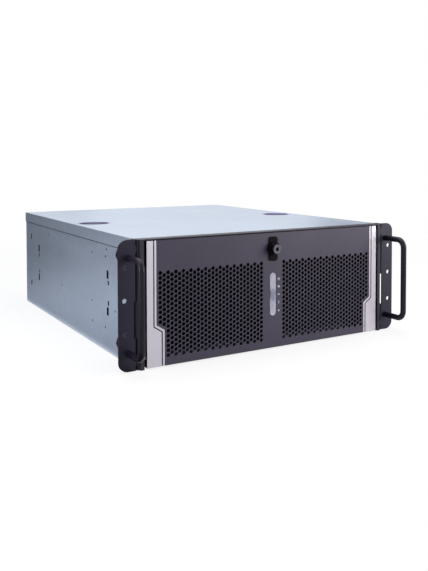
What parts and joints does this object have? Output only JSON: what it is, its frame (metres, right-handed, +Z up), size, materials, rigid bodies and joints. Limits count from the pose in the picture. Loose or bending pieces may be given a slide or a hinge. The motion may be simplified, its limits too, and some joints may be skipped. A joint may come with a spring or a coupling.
{
  "type": "rackmount server",
  "caption": "Rackmount graphics server, four units high, with a lockable drop-down honeycomb door, rack ears with rod handles, lift-off cover, spinning fans and fitted boards.",
  "frame": {"origin": "centre of the chassis floor's underside, midway between the ears' front faces and the rear edge of the cover", "axes": "+X to the right seen from the front, +Y to the rear, +Z up"},
  "size_m": [0.4826, 0.6145, 0.1765],
  "materials": {
    "galvanised_steel": "galvanised sheet, fine spangle",
    "charcoal_coat": "satin powder coat",
    "black_coat": "satin powder coat",
    "handle_coat": "smooth satin coat",
    "silver_trim": "satin anodised",
    "light_lens": "translucent diffuser",
    "filter_foam": "open-cell foam",
    "black_zinc": "black zinc",
    "bright_zinc": "bright zinc plate",
    "lock_nickel": "satin black nickel",
    "black_plastic": "moulded, fine grain",
    "fan_plastic": "moulded",
    "rotor_plastic": "moulded, glossier",
    "button_plastic": "moulded",
    "rocker_plastic": "moulded",
    "circuit_board": "solder mask",
    "drive_casting": "cast and sprayed",
    "brass_standoff": "machined",
    "fin_aluminium": "pressed fins",
    "shroud_coat": "satin coat",
    "psu_coat": "textured coat"
  },
  "bodies": {
    "chassis": {"chassis_tray": "galvanised_steel", "rear_panel": "galvanised_steel", "front_panel": "charcoal_coat", "front_frame": "charcoal_coat", "ear_left": "black_coat", "ear_right": "black_coat", "handle_left": "handle_coat", "handle_right": "handle_coat", "ear_screws": "black_zinc", "hinge_pins": "bright_zinc", "fan_frame_1": "fan_plastic", "fan_frame_2": "fan_plastic", "fan_frame_3": "fan_plastic", "rear_fan_frames": "fan_plastic", "drive_cage": "galvanised_steel", "drives": "drive_casting", "switch_board": "circuit_board", "motherboard": "circuit_board", "standoffs": "brass_standoff", "cpu_heatsink": "fin_aluminium", "cpu_fan_frame": "fan_plastic", "memory_modules": "circuit_board", "io_connectors": "bright_zinc", "io_shield": "bright_zinc", "pcie_slots": "black_plastic", "gpu_boards": "circuit_board", "gpu_heatsinks": "fin_aluminium", "gpu_shrouds": "shroud_coat", "gpu_brackets": "bright_zinc", "card_brace": "galvanised_steel", "slot_covers": "bright_zinc", "psu_case": "psu_coat", "psu_grille": "bright_zinc", "psu_inlet": "black_plastic"},
    "front_door": {"door_panel": "charcoal_coat", "door_frame": "black_plastic", "door_trim_left": "silver_trim", "door_trim_right": "silver_trim", "door_strips": "silver_trim", "light_bar_lens": "light_lens", "light_board": "circuit_board", "door_hinge_blocks": "black_plastic", "door_filter": "filter_foam", "lock_plate": "black_plastic", "lock_barrel": "lock_nickel"},
    "lock": {"lock_plug": "lock_nickel", "lock_cam": "bright_zinc"},
    "cover": {"top_cover": "galvanised_steel", "cover_screws": "bright_zinc"},
    "front_fan_1": {"fan_rotor_1": "rotor_plastic"},
    "front_fan_2": {"fan_rotor_2": "rotor_plastic"},
    "front_fan_3": {"fan_rotor_3": "rotor_plastic"},
    "rear_fan_1": {"rear_fan_rotor_1": "rotor_plastic"},
    "rear_fan_2": {"rear_fan_rotor_2": "rotor_plastic"},
    "cpu_fan": {"cpu_fan_rotor": "rotor_plastic"},
    "psu_fan": {"psu_fan_rotor": "rotor_plastic"},
    "power_key": {"power_button": "button_plastic"},
    "reset_key": {"reset_button": "button_plastic"},
    "psu_rocker": {"psu_switch": "rocker_plastic"}
  },
  "joints": [
    {"name": "front_door", "type": "hinge", "parent": "chassis", "child": "front_door", "pos_m": [0, -0.2775, 0.014], "axis": [1, 0, 0], "range_deg": [0, 90]},
    {"name": "lock_turn", "type": "hinge", "parent": "front_door", "child": "lock", "pos_m": [0, -0.2835, 0.15], "axis": [0, 1, 0], "range_deg": [0, 90]},
    {"name": "cover_lift", "type": "slide", "parent": "chassis", "child": "cover", "axis": [0, 0, 1], "range_m": [0, 0.1]},
    {"name": "front_fan_1_spin", "type": "hinge", "parent": "chassis", "child": "front_fan_1", "pos_m": [-0.126, -0.2418, 0.072], "axis": [0, 1, 0], "continuous": true},
    {"name": "front_fan_2_spin", "type": "hinge", "parent": "chassis", "child": "front_fan_2", "pos_m": [0, -0.2418, 0.072], "axis": [0, 1, 0], "continuous": true},
    {"name": "front_fan_3_spin", "type": "hinge", "parent": "chassis", "child": "front_fan_3", "pos_m": [0.126, -0.2418, 0.072], "axis": [0, 1, 0], "continuous": true},
    {"name": "rear_fan_1_spin", "type": "hinge", "parent": "chassis", "child": "rear_fan_1", "pos_m": [-0.0032, 0.2653, 0.0997], "axis": [0, 1, 0], "continuous": true},
    {"name": "rear_fan_2_spin", "type": "hinge", "parent": "chassis", "child": "rear_fan_2", "pos_m": [0.0788, 0.2653, 0.0997], "axis": [0, 1, 0], "continuous": true},
    {"name": "cpu_fan_spin", "type": "hinge", "parent": "chassis", "child": "cpu_fan", "pos_m": [0.0538, 0.1293, 0.1], "axis": [0, 1, 0], "continuous": true},
    {"name": "psu_fan_spin", "type": "hinge", "parent": "chassis", "child": "psu_fan", "pos_m": [0.1368, 0.1918, 0.0762], "axis": [1, 0, 0], "continuous": true},
    {"name": "power_press", "type": "slide", "parent": "chassis", "child": "power_key", "axis": [0, 1, 0], "range_m": [0, 0.002], "stiffness_N_per_m": 400, "springref_m": -0.002},
    {"name": "reset_press", "type": "slide", "parent": "chassis", "child": "reset_key", "axis": [0, 1, 0], "range_m": [0, 0.002], "stiffness_N_per_m": 400, "springref_m": -0.002},
    {"name": "psu_rocker_tilt", "type": "hinge", "parent": "chassis", "child": "psu_rocker", "pos_m": [0.1848, 0.2756, 0.0292], "axis": [1, 0, 0], "range_deg": [0, 16]}
  ]
}
